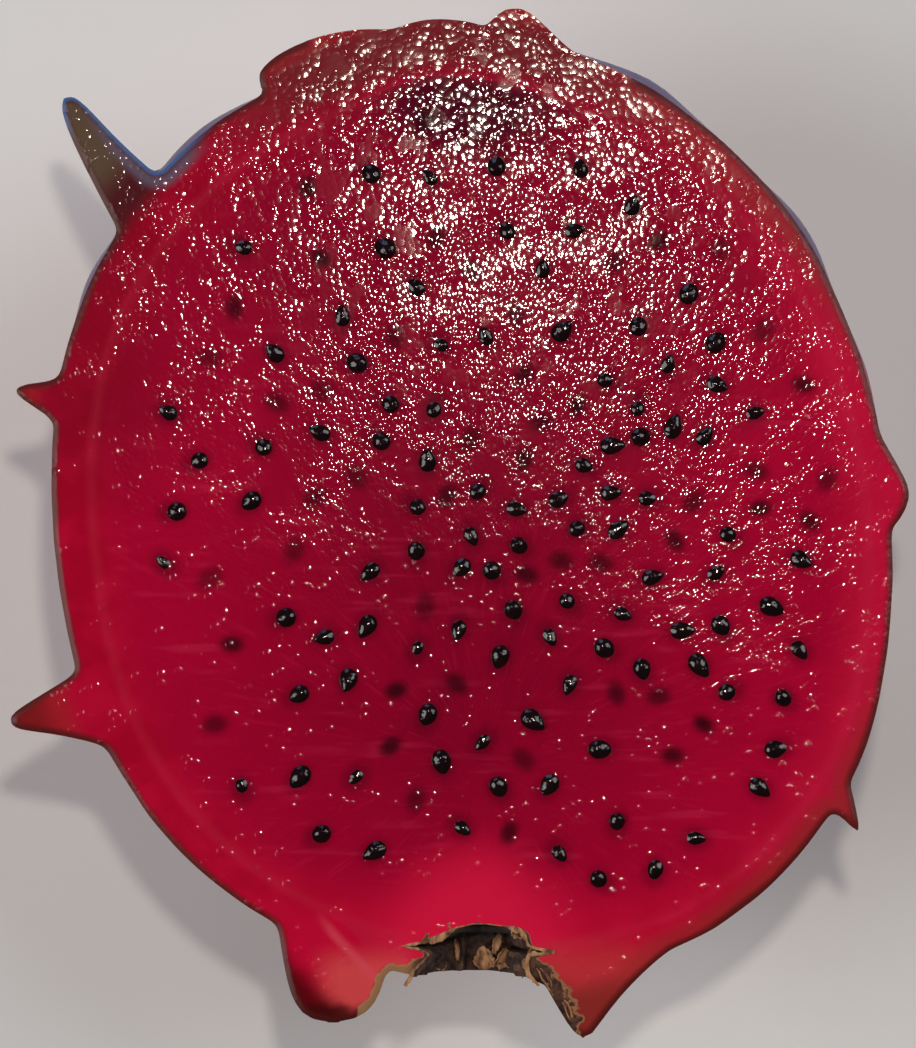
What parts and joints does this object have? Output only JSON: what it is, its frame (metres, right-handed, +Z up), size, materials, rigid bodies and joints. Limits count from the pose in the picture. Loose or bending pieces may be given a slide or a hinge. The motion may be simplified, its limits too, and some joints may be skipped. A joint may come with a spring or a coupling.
{
  "type": "dragon fruit half",
  "caption": "Half of a red-fleshed dragon fruit cut lengthwise, lying on its scaly skin with the seeded cut face up and the blossom pit open at one end.",
  "frame": {"origin": "under the middle of the half's bounding box, on the surface that it lies on", "axes": "+Z up, out of the cut face; +Y along the fruit's axis to the stem end, so the blossom pit is at -Y; +X across the cut face"},
  "size_m": [0.0902, 0.1032, 0.0406],
  "materials": {
    "peel": "waxy skin, satin, and wet where it is cut",
    "pulp": "wet and glossy",
    "dried_flower": "dry and papery"
  },
  "bodies": {
    "root": {"peel": "peel", "pulp": "pulp", "dried_flower": "dried_flower"}
  },
  "joints": []
}
